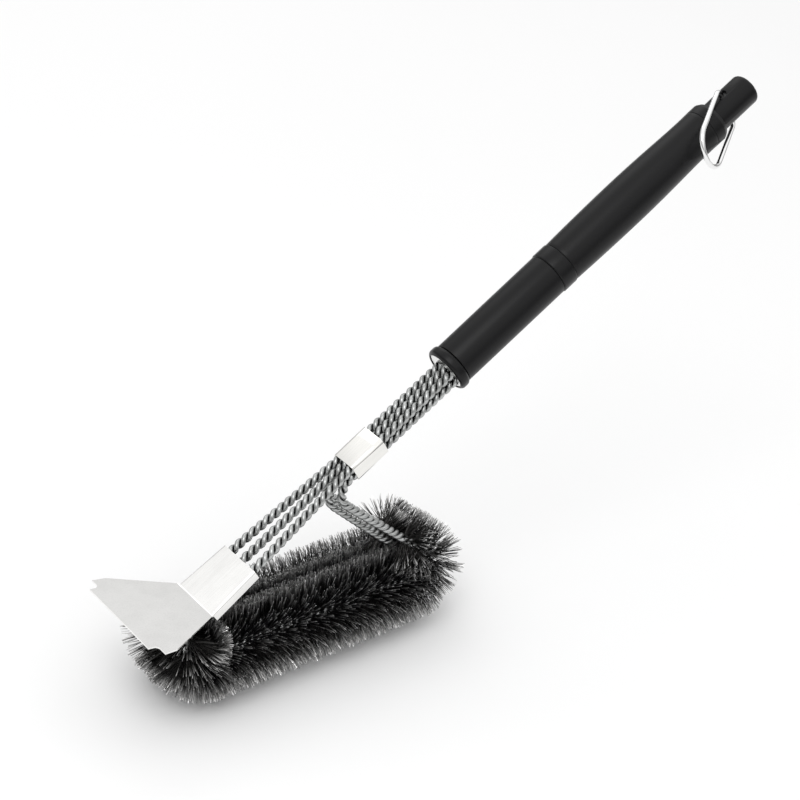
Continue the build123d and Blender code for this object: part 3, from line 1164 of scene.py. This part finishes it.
@dataclass
class HangingLoop:
    """Chrome wire loop through the cap's cross hole."""

    t: float = 208.0
    lean: float = math.radians(12.0)
    swing: float = math.radians(60.0)
    half_w: float = 12.0
    reach: float = 41.0
    corner_r: float = 3.6
    end_r: float = 11.2
    wire_r: float = 1.4

    def build(self, finishes: Finishes) -> Object:
        """Round wire along a closed line in the loop's plane.

        Args:
            finishes: the brush's finishes.

        Returns:
            The loop.
        """
        hole = SIDEWAYS * math.sin(self.lean) + AXIS.above * math.cos(self.lean)
        level = SIDEWAYS * math.cos(self.lean) - AXIS.above * math.sin(self.lean)
        out = -math.cos(self.swing) * level - math.sin(self.swing) * AXIS.along
        w, far = self.half_w, self.reach
        flat = np.array([(0, 0), (0, w), (far, w), (far, -w), (0, -w), (0, 0)], float)
        corners = AXIS.at(self.t) + flat[:, :1] * out + flat[:, 1:] * hole
        path = rounded_path(corners, [self.corner_r, self.end_r, self.end_r, self.corner_r], 0.6)[:-1]
        grid = tube(path, self.wire_r, 24, np.cross(out, hole))
        faces = outward(grid.reshape(-1, 3), [grid_quads(len(path), 24, True, True)])
        loop = put_mesh("hanging_loop_wire", grid.reshape(-1, 3), faces, 60)
        dress(loop, finishes.chrome, "loop_chrome", "hanging_loop", "hanging_loop")
        return loop


@dataclass
class Studio:
    """Pale floor, soft lights and the camera."""

    place: tuple[float, float, float] = (-609.03, -619.2, 640.6)
    right: tuple[float, float, float] = (0.7723, -0.6241, 0.1186)
    up: tuple[float, float, float] = (0.2455, 0.4655, 0.8503)
    lens: float = 88.0

    def floor(self) -> None:
        """A wide pale floor under the lowest tips."""
        x = np.linspace(-9000, 9000, 5)
        gx, gy = np.meshgrid(x, x, indexing="ij")
        points = np.stack([gx, gy, 0 * gx - 0.02], axis=-1).reshape(-1, 3)
        floor = put_mesh("floor", points, [grid_quads(5, 5, False, False)[:, ::-1]], None)
        material, tree, shader = empty_material("pale_floor")
        cloud = object_noise(tree, (3, 3, 3), 0.0, 2)
        shade = spread(tree, cloud.outputs["Fac"], 0.985, 1.0)
        tree.links.new(shaded_colour(tree, (0.90, 0.90, 0.90), shade), shader.inputs["Base Color"])
        shader.inputs["Roughness"].default_value = 0.9
        shader.inputs["Specular IOR Level"].default_value = 0.2
        floor.data.materials.append(material)

    def put(self, name: str, data: bpy.types.ID, place: Array, axes: list[Array]) -> Object:
        """Links a lamp or camera at a place, turned to its right, up and back directions."""
        obj = bpy.data.objects.new(name, data)
        rows = [(*row, p) for row, p in zip(np.stack(axes, axis=1), place)]
        obj.matrix_world = Matrix(rows + [(0, 0, 0, 1)])
        bpy.context.scene.collection.objects.link(obj)
        return obj

    def lamp(self, name: str, place: Sequence[float], size: float, power: float) -> None:
        """A soft square lamp aimed at the brush.

        Args:
            name: lamp name.
            place: position in metres.
            size: edge length in metres.
            power: watts.
        """
        data = bpy.data.lights.new(name, "AREA")
        data.shape = "SQUARE"
        data.size = size
        data.energy = power
        back = unit(np.array(place) - np.array([0.0, 0.0, 0.08]))
        right = unit(np.cross([0.0, 0.0, 1.0] if abs(back[2]) < 0.99 else [0.0, 1.0, 0.0], back))
        self.put(name, data, place, [right, np.cross(back, right), back])

    def sky(self) -> None:
        """Even soft light, brightest overhead, with a grey horizon."""
        world = bpy.data.worlds.new("studio")
        bpy.context.scene.world = world
        world.use_nodes = True
        tree = world.node_tree
        place = tree.nodes.new("ShaderNodeTexCoord")
        split = tree.nodes.new("ShaderNodeSeparateXYZ")
        ramp = tree.nodes.new("ShaderNodeValToRGB")
        lift = tree.nodes.new("ShaderNodeMapRange")
        lift.inputs["From Min"].default_value = -1.0
        tree.links.new(place.outputs["Generated"], split.inputs["Vector"])
        tree.links.new(split.outputs["Z"], lift.inputs["Value"])
        tree.links.new(lift.outputs["Result"], ramp.inputs["Fac"])
        tree.links.new(ramp.outputs["Color"], tree.nodes["Background"].inputs["Color"])
        stops = (
            (0.0, 0.55), (0.49, 0.28), (0.56, 0.31), (0.67, 0.68), (0.75, 0.86), (0.87, 1.1), (1.0, 1.15)
        )
        ramp.color_ramp.elements[0].position = stops[0][0]
        ramp.color_ramp.elements[1].position = stops[-1][0]
        ramp.color_ramp.elements[0].color = (stops[0][1],) * 3 + (1,)
        ramp.color_ramp.elements[1].color = (stops[-1][1],) * 3 + (1,)
        for where, value in stops[1:-1]:
            ramp.color_ramp.elements.new(where).color = (value, value, value, 1)
        tree.nodes["Background"].inputs["Strength"].default_value = 1.0

    def camera(self) -> None:
        """The camera, from its place and its right and up directions."""
        right, up = unit(np.array(self.right)), np.array(self.up)
        back = unit(np.cross(right, up))
        data = bpy.data.cameras.new("camera")
        data.lens = self.lens
        data.sensor_width = 36.0
        data.clip_start = 0.05
        data.clip_end = 50.0
        axes = [right, np.cross(back, right), back]
        bpy.context.scene.camera = self.put("camera", data, np.array(self.place) * MM, axes)

    def build(self) -> None:
        """Sets up floor, lights and camera."""
        self.floor()
        self.sky()
        self.lamp("key", (-0.9, -0.5, 1.6), 1.0, 7)
        self.lamp("fill", (-0.3, -1.7, 0.9), 1.4, 1.5)
        self.lamp("rim", (0.3, 1.3, 1.5), 1.0, 2)
        self.camera()


def main() -> None:
    """Builds every sub-assembly in order and reports it."""
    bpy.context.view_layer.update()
    bpy.context.scene.view_settings.view_transform = "Standard"
    finishes = Finishes()
    for node, material in (("handle_tube", finishes.inner), ("rope_plug", finishes.plug)):
        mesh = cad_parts[node].data
        mesh.materials.clear()
        mesh.materials.append(material)
    for side in Side:
        rope = Rope(side)
        rope.build(finishes)
        bristles = Bristles(rope)
        for zone in Zone:
            bristles.build(zone, finishes)
    Scraper().build(finishes)
    Clip().build(finishes)
    Handle().build(finishes)
    HangingLoop().build(finishes)
    Studio().build()
    LOG.info("pieces done")


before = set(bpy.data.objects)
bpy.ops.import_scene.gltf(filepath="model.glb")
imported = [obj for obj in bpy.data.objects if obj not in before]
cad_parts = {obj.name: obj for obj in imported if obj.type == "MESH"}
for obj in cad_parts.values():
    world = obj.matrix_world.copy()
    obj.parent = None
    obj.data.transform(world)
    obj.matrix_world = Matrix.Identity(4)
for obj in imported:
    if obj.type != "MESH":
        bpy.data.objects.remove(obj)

if __name__ == "__main__":
    main()
